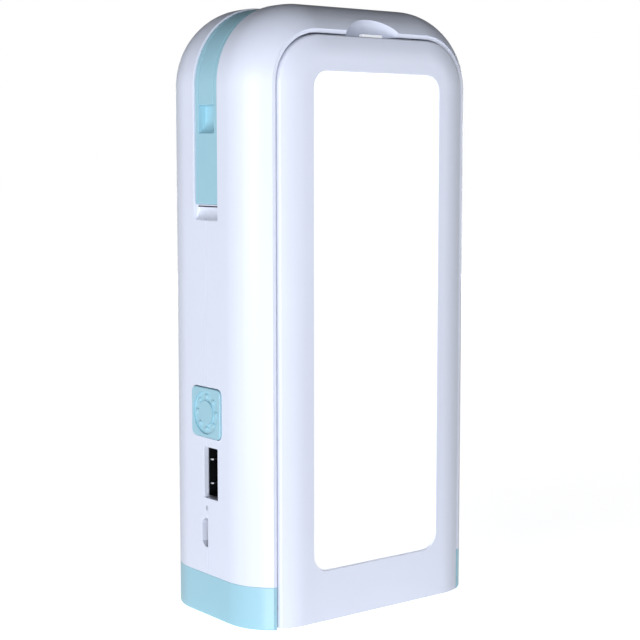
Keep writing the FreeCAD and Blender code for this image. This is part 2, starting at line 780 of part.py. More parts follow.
cavity_radius = "dim.panel_corner_radius - dim.frame_wall"
face_back = f"{panel_face} + dim.face_wall"
cover_front = f"{panel_back} - dim.cover_thickness"
cut(frame, "XZ", face_back, f"{panel_back} + dim.overcut",
    arch(cavity_half, cavity_low, cavity_top, cavity_radius))
cut(frame, "XZ", f"{panel_face} - dim.overcut", f"{face_back} + dim.overcut",
    rounded_rectangle(f"-{window_half}", window_half, window_low, window_high,
                      "dim.diffuser_radius"))
post_x = f"({cavity_half} - dim.panel_post_side)"
post_heights = (f"({cavity_low} + dim.panel_post_end)", f"({cavity_low} + {cavity_top}) / 2",
                f"({cavity_top} - dim.panel_post_end)")
panel_posts = [(x, z) for x in (f"-{post_x}", post_x) for z in post_heights]
pad(frame, "XZ", face_back, cover_front, *circles(panel_posts, "dim.panel_post"))
cut(frame, "XZ", f"{panel_back} - dim.panel_screw_length - dim.panel_pilot_spare",
    f"{cover_front} + dim.overcut", *circles(panel_posts, "dim.panel_pilot"))
corner_z = f"dim.hinge_rise - sqrt(({sweep}) ^ 2 - (dim.panel_thickness - dim.hinge_inset) ^ 2)"
cut(frame, "YZ", f"-({half}) - dim.overcut", f"{half} + dim.overcut",
    [(hinge_y, "dim.panel_bottom", sweep, "left"),
     (panel_back, corner_z),
     (f"{panel_back} + dim.overcut", corner_z),
     (f"{panel_back} + dim.overcut", "dim.panel_bottom - dim.overcut"),
     (hinge_y, "dim.panel_bottom - dim.overcut")])
pin_bore = ("circle", hinge_y, "dim.hinge_rise", "dim.hinge_pin + dim.hinge_play * 2")
cut(frame, "YZ", f"{half} - dim.hinge_pin_run", f"{half} + dim.overcut", pin_bore)
cut(frame, "YZ", f"-({half}) - dim.overcut", f"-({half}) + dim.hinge_pin_run", pin_bore)
latch_front = f"{panel_face} + dim.latch_setback"
latch_back = f"{latch_front} + dim.latch_thickness"
cut(frame, "XY", f"{cavity_top} - dim.overcut", f"{panel_top} + dim.overcut",
    rectangle("-dim.latch_width / 2 - dim.latch_fit", "dim.latch_width / 2 + dim.latch_fit",
              f"{latch_front} - dim.latch_fit", f"{latch_back} + dim.latch_fit"))

# Panel latch: white tongue that stands out of the panel's top edge into the thumb notch, held
# by a wider foot inside the frame.
latch = new_body("panel_latch")
pad(latch, "XY", cavity_top, f"{panel_top} + dim.latch_rise",
    rectangle("-dim.latch_width / 2", "dim.latch_width / 2", latch_front, latch_back))
pad(latch, "XY", f"{cavity_top} - dim.latch_foot_height", cavity_top,
    rectangle("-dim.latch_foot_width / 2", "dim.latch_foot_width / 2", latch_front, latch_back))

# Diffuser: opal acrylic window, set back a little in the frame, with a thin flange behind it.
lens = new_body("diffuser")
pad(lens, "XZ", f"{panel_face} + dim.diffuser_setback", face_back,
    rounded_rectangle(f"-{window_half} + dim.diffuser_fit", f"{window_half} - dim.diffuser_fit",
                      f"{window_low} + dim.diffuser_fit", f"{window_high} - dim.diffuser_fit",
                      "dim.diffuser_radius - dim.diffuser_fit"))
flange_half = f"{window_half} + dim.flange_width"
flange_low = f"{window_low} - dim.flange_width"
flange_high = f"{window_high} + dim.flange_width"
flange_back = f"{face_back} + dim.flange_thickness"
flange = rectangle(f"-({flange_half})", flange_half, flange_low, flange_high)
pad(lens, "XZ", face_back, flange_back, flange)

# Light ring: white moulded spacer that holds the diffuser's flange against the frame.
board_front = f"{cover_front} - dim.board_thickness"
spacer = new_body("light_ring")
pad(spacer, "XZ", flange_back, board_front, flange,
    rectangle(f"-({flange_half}) + dim.ring_wall", f"{flange_half} - dim.ring_wall",
              f"{flange_low} + dim.ring_wall", f"{flange_high} - dim.ring_wall"))

# Light board: aluminium circuit board that lies on the panel's cover.
node(box((f"-({flange_half})", board_front, flange_low),
         (flange_half, cover_front, flange_high)), "light_board")

# Light chips: rows of surface-mounted light emitters on the board.
chips = []
columns, rows = int(number("dim.chip_columns")), int(number("dim.chip_rows"))
chip_reach = f"({window_half} - dim.chip_side_margin)"
chip_low = f"({window_low} + dim.chip_end_margin)"
chip_high = f"({window_high} - dim.chip_end_margin)"
for column in range(columns):
    for line in range(rows):
        x = f"{2 * column / (columns - 1) - 1} * {chip_reach}"
        z = f"{chip_low} + {line / (rows - 1)} * ({chip_high} - {chip_low})"
        chips.append(box((f"{x} - dim.chip_width / 2", f"{board_front} - dim.chip_thickness",
                          f"{z} - dim.chip_length / 2"),
                         (f"{x} + dim.chip_width / 2", board_front,
                          f"{z} + dim.chip_length / 2")))
group("light_chips", chips)

# Panel cover: white plate that closes the panel's back, with six counterbored screw holes.
cover = new_body("panel_cover")
pad(cover, "XZ", cover_front, panel_back,
    arch(f"{cavity_half} - dim.cover_fit", f"{cavity_low} + dim.cover_fit",
         f"{cavity_top} - dim.cover_fit", f"{cavity_radius} - dim.cover_fit"))
cut(cover, "XZ", f"{cover_front} - dim.overcut", f"{panel_back} + dim.overcut",
    *circles(panel_posts, "dim.panel_pilot + dim.head_clear"))
cut(cover, "XZ", f"{panel_back} - dim.panel_head_height", f"{panel_back} + dim.overcut",
    *circles(panel_posts, "dim.panel_head + dim.head_clear"))


def screw(axis, across, head_out, seat, tip, head, shank):
    """A screw along an axis: a round head with a slot, and its shank. The head lies between its
    outer face and its seat, and the tip is where the shank ends."""
    inward = number(seat) > number(head_out)
    low, high = (head_out, seat) if inward else (seat, head_out)
    shank_low, shank_high = (seat, tip) if inward else (tip, seat)
    slot_low = head_out if inward else f"{head_out} - dim.slot_depth"
    slot_high = f"{head_out} + dim.slot_depth" if inward else head_out
    body = joined(rod(axis, across, low, high, head),
                  rod(axis, across, shank_low, shank_high, shank))
    first = [f"{across[0]} - ({head}) / 2", f"{across[1]} - dim.slot_width / 2"]
    last = [f"{across[0]} + ({head}) / 2", f"{across[1]} + dim.slot_width / 2"]
    first.insert("xyz".index(axis), slot_low)
    last.insert("xyz".index(axis), slot_high)
    return less(body, box(first, last))


group("panel_screws", [
    screw("y", (x, z), panel_back, f"{panel_back} - dim.panel_head_height",
          f"{panel_back} - dim.panel_screw_length", "dim.panel_head", "dim.panel_pilot")
    for x, z in panel_posts])
group("case_screws", [
    screw("y", (x, z), "dim.case_seat + dim.case_head_height", "dim.case_seat",
          "dim.case_seat - dim.case_screw_length", "dim.case_head", "dim.case_pilot")
    for x, z in case_posts])
group("base_screws", [
    screw("z", (x, y), "dim.base_seat - dim.case_head_height", "dim.base_seat",
          "dim.base_seat + dim.base_screw_length", "dim.case_head", "dim.case_pilot")
    for x, y in base_posts])
group("board_screws", [
    screw("y", (x, z), "dim.board_front - dim.board_head_height", "dim.board_front",
          f"{board_back} + dim.board_screw_length - dim.pilot_spare", "dim.case_head",
          "dim.case_pilot")
    for x, z in standoffs])

# Hinge pins: steel, pressed into the base cap's corners, on which the panel turns, each with a
# spring washer between panel and corner that gives the hinge its friction.
pins = []
washers = []
for sign in (-1, 1):
    ends = sorted([f"{sign} * ({half} - dim.hinge_pin_run + 0.5)",
                   f"{sign} * ({recess_half} + dim.hinge_pin_grip)"], key=number)
    pins.append(rod("x", (hinge_y, "dim.hinge_rise"), *ends, "dim.hinge_pin"))
    faces = sorted([f"{sign} * ({half} + (dim.panel_gap - dim.washer_thickness) / 2)",
                    f"{sign} * ({half} + (dim.panel_gap + dim.washer_thickness) / 2)"], key=number)
    washers.append(less(rod("x", (hinge_y, "dim.hinge_rise"), *faces, "dim.washer_width"),
                        rod("x", (hinge_y, "dim.hinge_rise"), *faces,
                            "dim.hinge_pin + dim.hinge_play * 2")))
group("hinge_pins", pins)
group("hinge_washers", washers)

# Carry handle: pale blue moulded strap that lies in the channel, grooved for the hanging hook,
# with a round nose on its pivot pin and a finger scoop below the hook's end.
handle = new_body("carry_handle")
strap_in = "dim.strap_recess + dim.strap_thickness"
strap_edges = ("-dim.strap_width / 2", "dim.strap_width / 2")
pad(handle, "XZ", *strap_edges,
    strap_path("dim.strap_recess", strap_in, strap_end, pivot_x))
pad(handle, "XZ", *strap_edges, ("circle", pivot_x, pivot_z, "dim.strap_thickness"))
groove_depth = "dim.strap_recess + dim.hook_thickness + dim.hook_back_gap"
groove_end = f"{hook_end} - dim.hook_side_gap - dim.hook_scoop_height"
groove = strap_path("-dim.overcut", groove_depth, groove_end,
                    f"{hook_x} + dim.hook_thickness / 2 + dim.hook_back_gap")
groove[-1:] = [(f"-({side} - ({groove_depth}))", f"{groove_end} + dim.hook_scoop_rise",
                "dim.hook_scoop_radius", "right"),
               (f"-({side} - dim.strap_recess)", groove_end)]
cut(handle, "XZ", "-dim.hook_width / 2 - dim.hook_side_gap",
    "dim.hook_width / 2 + dim.hook_side_gap", groove)
hook_z = "dim.body_height - dim.strap_recess - dim.hook_thickness / 2"
wide_cut = ("-dim.strap_width", "dim.strap_width")
cut(handle, "XZ", *wide_cut,
    ("circle", pivot_x, pivot_z, "dim.pivot_pin + dim.pivot_play * 2"))
cut(handle, "XZ", *wide_cut, ("circle", hook_x, hook_z, "dim.hook_pin"))

# Hanging hook: pale blue moulded strip nested in the handle, on a thin pin of its own.
hook = new_body("hanging_hook")
hook_edges = ("-dim.hook_width / 2", "dim.hook_width / 2")
pad(hook, "XZ", *hook_edges,
    strap_path("dim.strap_recess", "dim.strap_recess + dim.hook_thickness", hook_end, hook_x))
pad(hook, "XZ", *hook_edges, ("circle", hook_x, hook_z, "dim.hook_thickness"))
cut(hook, "XZ", *wide_cut, ("circle", hook_x, hook_z, "dim.hook_pin + dim.pivot_play * 2"))
node(rod("y", (hook_x, hook_z), *strap_edges, "dim.hook_pin"), "hook_pin")
pin_reach = f"{seat_half} + dim.rib_wall + dim.pivot_grip / 2"
node(rod("y", (pivot_x, pivot_z), f"-({pin_reach})", pin_reach, "dim.pivot_pin"),
     "handle_pin")

# Power button: pale blue cap with a sunken ring of eight raised dots round a raised disc, a
# flange that keeps it behind the wall, and a pusher in its back.
button = new_body("power_button")
cap_out = f"-({side}) - dim.button_proud"
cap_in = f"-({side}) + dim.button_depth"
face = pad(button, "YZ", cap_out, cap_in,
           rounded_rectangle("-dim.button_size / 2", "dim.button_size / 2",
                             f"{button_z} - dim.button_size / 2",
                             f"{button_z} + dim.button_size / 2", "dim.button_radius"))
rounded(button, face, edges_in(face.Shape, "X", number(cap_out)), "dim.button_edge")
cut(button, "YZ", cap_out, f"{cap_out} + dim.ring_depth",
    ("circle", "0", button_z, "dim.ring_outer"),
    ("circle", "0", button_z, "dim.ring_inner"))
dots = int(number("dim.dot_count"))
dot_loops = []
for index in range(dots):
    y = f"dim.dot_circle / 2 * sin({360 * index / dots} deg)"
    z = f"{button_z} + dim.dot_circle / 2 * cos({360 * index / dots} deg)"
    dot_loops.append(("circle", y, z, "dim.dot_size"))
pad(button, "YZ", f"{cap_out} + dim.ring_depth / 4", f"{cap_out} + dim.ring_depth", *dot_loops)
flange_face = f"-({side}) + dim.wall + dim.button_gap"
pad(button, "YZ", flange_face, f"{flange_face} + dim.button_flange_thickness",
    rectangle("-dim.button_size / 2 - dim.button_flange",
              "dim.button_size / 2 + dim.button_flange",
              f"{button_z} - dim.button_size / 2 - dim.button_flange",
              f"{button_z} + dim.button_size / 2 + dim.button_flange"))
cut(button, "YZ", f"{cap_out} + dim.ring_depth + dim.button_wall",
    f"{flange_face} + dim.button_flange_thickness + dim.overcut",
    rectangle("-dim.button_size / 2 + dim.button_wall", "dim.button_size / 2 - dim.button_wall",
              f"{button_z} - dim.button_size / 2 + dim.button_wall",
              f"{button_z} + dim.button_size / 2 - dim.button_wall"))
pusher_tip = f"{cap_in} + dim.pusher_length"
pad(button, "YZ", f"{cap_out} + dim.ring_depth + dim.button_wall / 2", pusher_tip,
    ("circle", "0", button_z, "dim.pusher_size"))

# Switch: push switch soldered to the board behind the button, and its own plunger, which the
# pusher moves.
switch_half = "dim.board_front"
plunger_in = f"{pusher_tip} + dim.plunger_length"
switch_block = box((switch_face, f"-({switch_half})", f"{button_z} - dim.switch_height / 2"),
                   (f"{switch_face} + dim.switch_length", switch_half,
                    f"{button_z} + dim.switch_height / 2"))
node(less(switch_block, rod("x", ("0", button_z), switch_face,
                            f"{plunger_in} + dim.button_travel + dim.plunger_play",
                            "dim.plunger_size + dim.plunger_play * 2")), "tact_switch")
node(rod("x", ("0", button_z), pusher_tip, plunger_in, "dim.plunger_size"),
     "switch_plunger")

# Main board: charging and light circuit, standing on edge behind the sockets.
board = new_body("main_board")
pad(board, "XZ", "dim.board_front", board_back,
    rectangle(board_left, board_right, board_low, board_high))
cut(board, "XZ", "dim.board_front - dim.overcut", f"{board_back} + dim.overcut",
    *circles(standoffs, "dim.case_clear"))
chip_z = f"({button_z} - dim.button_size / 2)"
node(box((f"{standoff_x} + dim.chip_inset", "dim.board_front - dim.control_thickness", chip_z),
         (f"{standoff_x} + dim.chip_inset + dim.chip_side", "dim.board_front",
          f"{chip_z} + dim.chip_side")), "control_chip")
choke_x = f"(({usb_back} + {board_right} - dim.choke_side) / 2)"
node(box((choke_x, "dim.board_front - dim.choke_height", pipe_z),
         (f"{choke_x} + dim.choke_side", "dim.board_front", f"{pipe_z} + dim.choke_side")),
     "choke")

# Output socket: steel shell set back in its hole, black insert with a tongue and four gilt
# contacts, on a black riser.
usb_floor = f"{usb_z} - dim.usb_a_height / 2"
usb_top = f"{usb_z} + dim.usb_a_height / 2"
node(less(box((usb_mouth, usb_low, usb_floor), (usb_back, usb_high, usb_top)),
          box((usb_mouth, f"{usb_low} + dim.usb_a_wall", f"{usb_floor} + dim.usb_a_wall"),
              (f"{usb_back} - dim.usb_a_wall", f"{usb_high} - dim.usb_a_wall",
               f"{usb_top} - dim.usb_a_wall"))), "output_socket_shell")
root_front = f"{usb_back} - dim.usb_a_wall - dim.tongue_root"
tongue_low = "dim.usb_a_y - dim.tongue_width / 2"
tongue_high = "dim.usb_a_y + dim.tongue_width / 2"
tongue_tip = f"{usb_mouth} + dim.tongue_setback"
node(joined(box((root_front, f"{usb_low} + dim.usb_a_wall", f"{usb_floor} + dim.usb_a_wall"),
                (f"{usb_back} - dim.usb_a_wall", f"{usb_high} - dim.usb_a_wall",
                 f"{usb_top} - dim.usb_a_wall")),
            box((tongue_tip, tongue_low, f"{usb_z} - dim.tongue_height / 2"),
                (root_front, tongue_high, f"{usb_z} + dim.tongue_height / 2"))),
     "output_socket_insert")
contacts = []
for index in range(4):
    z = f"{usb_z} + {index - 1.5} * dim.contact_pitch"
    contacts.append(box((f"{tongue_tip} + dim.contact_thickness",
                         f"{tongue_low} - dim.contact_thickness",
                         f"{z} - dim.contact_width / 2"),
                        (f"{tongue_tip} + dim.contact_thickness + dim.contact_length",
                         tongue_low, f"{z} + dim.contact_width / 2")))
group("output_contacts", contacts)
node(box((f"{usb_mouth} + dim.tongue_setback", usb_high, usb_floor),
         (usb_back, "dim.board_front", usb_top)), "output_socket_riser")

# Charging socket: steel shell and black tongue, in front of the board.
charge = new_body("charging_socket_shell")
charge_back = f"{charge_mouth} + dim.charge_length"
pad(charge, "YZ", charge_mouth, charge_back, charge_loop("0"))
cut(charge, "YZ", charge_mouth, f"{charge_back} - dim.charge_wall",
    charge_loop("-dim.charge_wall"))
charge_y = "dim.board_front - dim.charge_width / 2"
node(box((f"{charge_mouth} + dim.charge_wall", f"{charge_y} - dim.charge_tongue",
          f"{charge_z} - dim.charge_height / 2 + dim.charge_flare"),
         (f"{charge_back} - dim.charge_wall", charge_y,
          f"{charge_z} + dim.charge_height / 2 - dim.charge_flare")), "charging_socket_tongue")

# Charging light: clear pipe in the wall and the light chip behind it.
pipe_end = f"-({side}) + dim.light_pipe_length"
node(rod("x", ("dim.light_pipe_y", pipe_z), f"-({side})", pipe_end,
         "dim.light_pipe_size"), "light_pipe")
node(box((pipe_end, "dim.light_pipe_y - dim.charge_light_size / 2",
          f"{pipe_z} - dim.charge_light_size / 2"),
         (f"{pipe_end} + dim.charge_light_length", "dim.board_front",
          f"{pipe_z} + dim.charge_light_size / 2")), "charging_light")

# Battery: two upright cells side by side, in a black tray against the rear shell, joined by a
# nickel strip above and one below.
cell_y = f"{rear} - dim.wall - dim.tray_floor - dim.cell_size / 2 - dim.tray_play"
cell_centres = (f"{cell_x} - (dim.cell_size + dim.cell_gap) / 2",
                f"{cell_x} + (dim.cell_size + dim.cell_gap) / 2")
for name, x in zip(("battery_cell_left", "battery_cell_right"), cell_centres):
    can = rod("z", (x, cell_y), cell_low, f"{cell_high} - dim.cell_terminal_height",
              "dim.cell_size")
    button_end = rod("z", (x, cell_y), f"{cell_high} - dim.cell_terminal_height", cell_high,
                     "dim.cell_terminal")
    node(joined(can, button_end), name)
tray_back = f"{rear} - dim.wall"
tray_front = f"{tray_back} - dim.tray_floor - dim.tray_side"
tray_corner = "dim.edge_radius - dim.wall - dim.tray_side_gap"
tray = new_body("battery_tray")
pad(tray, "XY", tray_foot, f"{tray_high} + dim.tray_wall",
    round_backed(f"{cell_x} - {cell_half} - dim.tray_wall",
                 f"{cell_x} + {cell_half} + dim.tray_wall", tray_front, tray_back, tray_corner))
cut(tray, "XY", tray_low, tray_high,
    round_backed(f"{cell_x} - {cell_half}", f"{cell_x} + {cell_half}",
                 f"{tray_front} - dim.overcut", f"{tray_back} - dim.tray_floor",
                 f"{tray_corner} - dim.tray_floor"))
strip_ends = (f"{cell_centres[0]} - dim.strip_width / 2",
              f"{cell_centres[1]} + dim.strip_width / 2")
group("battery_strips", [
    box((strip_ends[0], f"{cell_y} - dim.strip_width / 2", low),
        (strip_ends[1], f"{cell_y} + dim.strip_width / 2", f"{low} + dim.strip_thickness"))
    for low in (f"{cell_low} - dim.strip_thickness", cell_high)])

doc.recompute()
for thing in doc.Objects:
    if "Invalid" in thing.State or "Error" in thing.State:
        raise RuntimeError(f"{thing.Name} failed: {thing.State}")
for thing in nodes:
    if thing.Shape.isNull() or not thing.Shape.isValid() or thing.Shape.Volume <= 0:
        raise RuntimeError(f"{thing.Label} has no valid solid")
for thing in nodes:
    thing.Shape.exportStep(f"parts/{thing.Label}.step")
    print(thing.Label, len(thing.Shape.Solids), round(thing.Shape.Volume, 1))
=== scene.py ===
import math
import bmesh
import bpy
from mathutils import Matrix, Vector


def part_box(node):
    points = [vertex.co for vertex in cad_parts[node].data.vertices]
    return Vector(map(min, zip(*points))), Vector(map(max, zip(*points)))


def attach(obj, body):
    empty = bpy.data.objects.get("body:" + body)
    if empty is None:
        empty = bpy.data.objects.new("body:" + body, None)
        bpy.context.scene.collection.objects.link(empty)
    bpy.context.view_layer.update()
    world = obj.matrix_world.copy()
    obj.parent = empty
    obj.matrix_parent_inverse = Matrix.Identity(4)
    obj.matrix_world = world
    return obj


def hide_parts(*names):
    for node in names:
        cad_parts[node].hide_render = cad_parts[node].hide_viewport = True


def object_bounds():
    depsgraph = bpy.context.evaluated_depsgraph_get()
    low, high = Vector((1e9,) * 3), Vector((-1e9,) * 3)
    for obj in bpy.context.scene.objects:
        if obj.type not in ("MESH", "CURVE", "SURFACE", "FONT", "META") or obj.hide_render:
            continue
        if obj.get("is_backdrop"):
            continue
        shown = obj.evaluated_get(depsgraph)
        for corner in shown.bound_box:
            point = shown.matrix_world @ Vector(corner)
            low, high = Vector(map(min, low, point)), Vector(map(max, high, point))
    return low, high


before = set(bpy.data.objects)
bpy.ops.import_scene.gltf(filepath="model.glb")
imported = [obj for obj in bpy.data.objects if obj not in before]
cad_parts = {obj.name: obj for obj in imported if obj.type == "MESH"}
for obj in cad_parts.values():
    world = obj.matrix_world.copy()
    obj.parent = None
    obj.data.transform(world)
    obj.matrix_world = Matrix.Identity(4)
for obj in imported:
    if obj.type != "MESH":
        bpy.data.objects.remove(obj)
cad_low, cad_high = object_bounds()
mm = 0.001


# Base cap: the pale blue foot, one injection moulding with solid front corners for the hinge
# pins. It closes the two shells from below.
def paint(red, green, blue):
    """A colour as a screen shows it, made linear for the shaders."""
    linear = [value / 12.92 if value < 0.04045 else ((value + 0.055) / 1.055) ** 2.4
              for value in (red, green, blue)]
    return (*linear, 1.0)


def noise(tree, scale, detail=3, grain=(1, 1, 1)):
    """The output of a noise in the object's own space, drawn out along an axis by its grain."""
    place = tree.nodes.new("ShaderNodeTexCoord")
    drawn = tree.nodes.new("ShaderNodeMapping")
    drawn.inputs["Scale"].default_value = grain
    texture = tree.nodes.new("ShaderNodeTexNoise")
    texture.inputs["Scale"].default_value = scale
    texture.inputs["Detail"].default_value = detail
    tree.links.new(place.outputs["Object"], drawn.inputs["Vector"])
    tree.links.new(drawn.outputs["Vector"], texture.inputs["Vector"])
    return texture.outputs["Fac"]


def ramp(tree, source, colour, other, low=0.35, high=0.65):
    """A colour that goes from one to another as a value rises."""
    drift = tree.nodes.new("ShaderNodeValToRGB")
    drift.color_ramp.elements[0].position = low
    drift.color_ramp.elements[0].color = paint(*colour)
    drift.color_ramp.elements[1].position = high
    drift.color_ramp.elements[1].color = paint(*other)
    tree.links.new(source, drift.inputs["Fac"])
    return drift.outputs["Color"]


def stuff(name, colour, other, roughness, metal=0.0, skin=0.012 * mm, grain=(1, 1, 1)):
    """A material whose colour drifts over a few centimetres, with uneven gloss and a fine relief:
    the rippled skin of a polished mould, or the grain of a rolled or turned metal."""
    material = bpy.data.materials.new(name)
    material.use_nodes = True
    tree = material.node_tree
    shader = tree.nodes["Principled BSDF"]
    shader.inputs["Metallic"].default_value = metal
    drift_scale, gloss_scale, ripple_scale = 22, 90, 1400
    colours = ramp(tree, noise(tree, drift_scale), colour, other)
    tree.links.new(colours, shader.inputs["Base Color"])

    gloss_spread = 0.05
    gloss = tree.nodes.new("ShaderNodeMapRange")
    gloss.inputs["To Min"].default_value = roughness - gloss_spread
    gloss.inputs["To Max"].default_value = roughness + gloss_spread
    tree.links.new(noise(tree, gloss_scale, 4, grain), gloss.inputs["Value"])
    tree.links.new(gloss.outputs["Result"], shader.inputs["Roughness"])

    ripple = tree.nodes.new("ShaderNodeBump")
    ripple.inputs["Distance"].default_value = skin
    ripple.inputs["Strength"].default_value = 0.5
    tree.links.new(noise(tree, ripple_scale, 2, grain), ripple.inputs["Height"])
    tree.links.new(ripple.outputs["Normal"], shader.inputs["Normal"])
    return material


def merged(node):
    """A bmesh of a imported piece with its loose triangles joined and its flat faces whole."""
    form = bmesh.new()
    form.from_mesh(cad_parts[node].data)
    bmesh.ops.remove_doubles(form, verts=form.verts, dist=1e-6)
    bmesh.ops.dissolve_limit(form, angle_limit=math.radians(0.3), verts=form.verts,
                             edges=form.edges, use_dissolve_boundaries=False)
    return form


def soften(form, width, chosen=None, steps=2):
    """Round the sharp edges, or those of them that pass a test on their middle."""
    least_turn = math.radians(35)
    sharp = []
    for edge in form.edges:
        middle = (edge.verts[0].co + edge.verts[1].co) / 2
        if edge.calc_face_angle(0) > least_turn and (chosen is None or chosen(middle)):
            sharp.append(edge)
    bmesh.ops.bevel(form, geom=sharp, offset=width, offset_type="OFFSET", segments=steps,
                    profile=0.5, affect="EDGES", clamp_overlap=False, material=-1)
    return form


def piece(form, name, body, material, stands_for=()):
    """Turn a finished bmesh into a smooth-shaded piece that rides on a body."""
    crease = math.radians(30)
    for face in form.faces:
        face.smooth = True
    for edge in form.edges:
        edge.smooth = edge.calc_face_angle(0) < crease
    mesh = bpy.data.meshes.new(name)
    form.to_mesh(mesh)
    form.free()
    mesh.materials.append(material)
    made = bpy.data.objects.new(name, mesh)
    bpy.context.scene.collection.objects.link(made)
    flats = made.modifiers.new("flat faces stay flat", "WEIGHTED_NORMAL")
    flats.keep_sharp = True
    flats.weight = 100
    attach(made, body)
    if stands_for:
        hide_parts(*stands_for)


trim_blue = stuff("blue_plastic", (0.640, 0.812, 0.858), (0.655, 0.822, 0.864), 0.34)
base_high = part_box("base_cap")[1]
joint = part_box("rear_shell")[0].z
edge_radius = 14.5 * mm
near = 0.02 * mm


def under_wall(point):
    """How far a point lies inside the body's rounded outline, seen from above."""
    across = abs(point.x) - base_high.x + edge_radius
    along = abs(point.y) - base_high.y + edge_radius
    if across > 0 and along > 0:
        return edge_radius - math.hypot(across, along)
    return edge_radius - max(across, along)


def at_joint(point):
    """Whether a point lies on the outside of the joint between the foot and the shells."""
    return abs(point.z - joint) < near and under_wall(point) < near


base = soften(merged("base_cap"), 0.15 * mm, at_joint)
piece(base, "moulded_base_cap", "root", trim_blue, ["base_cap"])

# Front and rear shells: the two white halves of the arched case, glossy injection mouldings
# that meet in a seam down the sides and along the top.
shell_white = stuff("white_plastic", (0.905, 0.915, 0.955), (0.910, 0.922, 0.960), 0.36)
arch_radius = 21 * mm
seam_half = 0.3 * mm
channel_half = 5.3 * mm
channel_foot = 80 * mm
holes_half = 8 * mm
holes_top = 70 * mm


def under_arch(point):
    """How far a point lies inside the body's arched outline, seen from the front."""
    across = abs(point.x) - cad_high.x + arch_radius
    up = point.z - cad_high.z + arch_radius
    if across > 0 and up > 0:
        return arch_radius - math.hypot(across, up)
    return arch_radius - max(across, up)


def at_channel(point):
    """Whether a point lies on the outer edge of the handle's channel, off the seam."""
    beside = seam_half < abs(point.y) < channel_half + near
    return beside and under_arch(point) < 2 * near and point.z > channel_foot


def at_hole(point):
    """Whether a point lies on the edge of a hole in the left wall, off the seam."""
    beside = seam_half < abs(point.y) < holes_half
    return beside and point.x < near - cad_high.x and joint + mm < point.z < holes_top


for half in ("front_shell", "rear_shell"):
    shell = soften(merged(half), 0.12 * mm, at_joint)
    soften(shell, 0.25 * mm, at_channel)
    soften(shell, 0.15 * mm, at_hole)
    piece(shell, f"moulded_{half}", "root", shell_white, [half])


# Catch bars and shade strips: under the free end of the carry handle each shell has a thin white
# rib, with a black strip below it, above the finger scoop, that is painted shade for the slit
# there.
def block(form, low, high, width):
    """Add a block between two corners, with its edges rounded by a width."""
    centre = (Vector(low) + Vector(high)) / 2
    size = Vector(high) - Vector(low)
    placed = Matrix.Translation(centre) @ Matrix.Diagonal((*size, 1))
    made = bmesh.ops.create_cube(form, size=1.0, matrix=placed)
    edges = {edge for vert in made["verts"] for edge in vert.link_edges}
    bmesh.ops.bevel(form, geom=list(edges), offset=width, offset_type="OFFSET", segments=2,
                    profile=0.5, affect="EDGES", clamp_overlap=False, material=-1)


black = stuff("black_moulding", (0.10, 0.10, 0.11), (0.12, 0.12, 0.13), 0.5)
catch_bars = bmesh.new()
# Each black strip is a block of painted shade in the slit under a catch bar.
slit_shade_strips = bmesh.new()
left_wall = -cad_high.x
strap_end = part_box("carry_handle")[0].z
inner_reach = 0.05 * mm
outer_reach = channel_half + 0.1 * mm
for low_y, high_y in ((-outer_reach, -inner_reach), (inner_reach, outer_reach)):
    block(catch_bars, (left_wall + 0.7 * mm, low_y, strap_end - 0.36 * mm),
          (left_wall + 1.9 * mm, high_y, strap_end - 0.06 * mm), 0.05 * mm)
    block(slit_shade_strips, (left_wall + 1.4 * mm, low_y, strap_end - 0.74 * mm),
          (left_wall + 3.0 * mm, high_y, strap_end - 0.38 * mm), 0.03 * mm)
piece(catch_bars, "moulded_catch_bars", "root", shell_white)
piece(slit_shade_strips, "painted_shade_strips", "root", black)

# Battery: two cells in printed shrink wrap, each a steel can with a crimped neck and a raised
# end, side by side in a black moulded tray and joined by welded nickel strips.
wrap = stuff("blue_shrink_wrap", (0.18, 0.42, 0.66), (0.22, 0.47, 0.70), 0.3, skin=0.03 * mm)
nickel = stuff("rolled_nickel", (0.78, 0.78, 0.76), (0.70, 0.70, 0.69), 0.32, metal=1.0,
               grain=(1, 20, 1))


def turned(form, profile, foot, axis, steps=48):
    """Add the surface that (radius, height) points sweep round an axis from a foot point."""
    lean = Vector(axis).to_track_quat("Z", "Y").to_matrix()
    points = [form.verts.new(foot + lean @ Vector((radius, 0, height)))
              for radius, height in profile]
    sides = [form.edges.new(pair) for pair in zip(points, points[1:])]
    bmesh.ops.spin(form, geom=points + sides, cent=foot, axis=axis, dvec=(0, 0, 0),
                   angle=math.tau, steps=steps, use_merge=True, use_duplicate=False)
    bmesh.ops.remove_doubles(form, verts=form.verts, dist=1e-7)
    bmesh.ops.recalc_face_normals(form, faces=form.faces)


def scaled(points):
    """Profile points given in millimetres."""
    return [(radius * mm, height * mm) for radius, height in points]


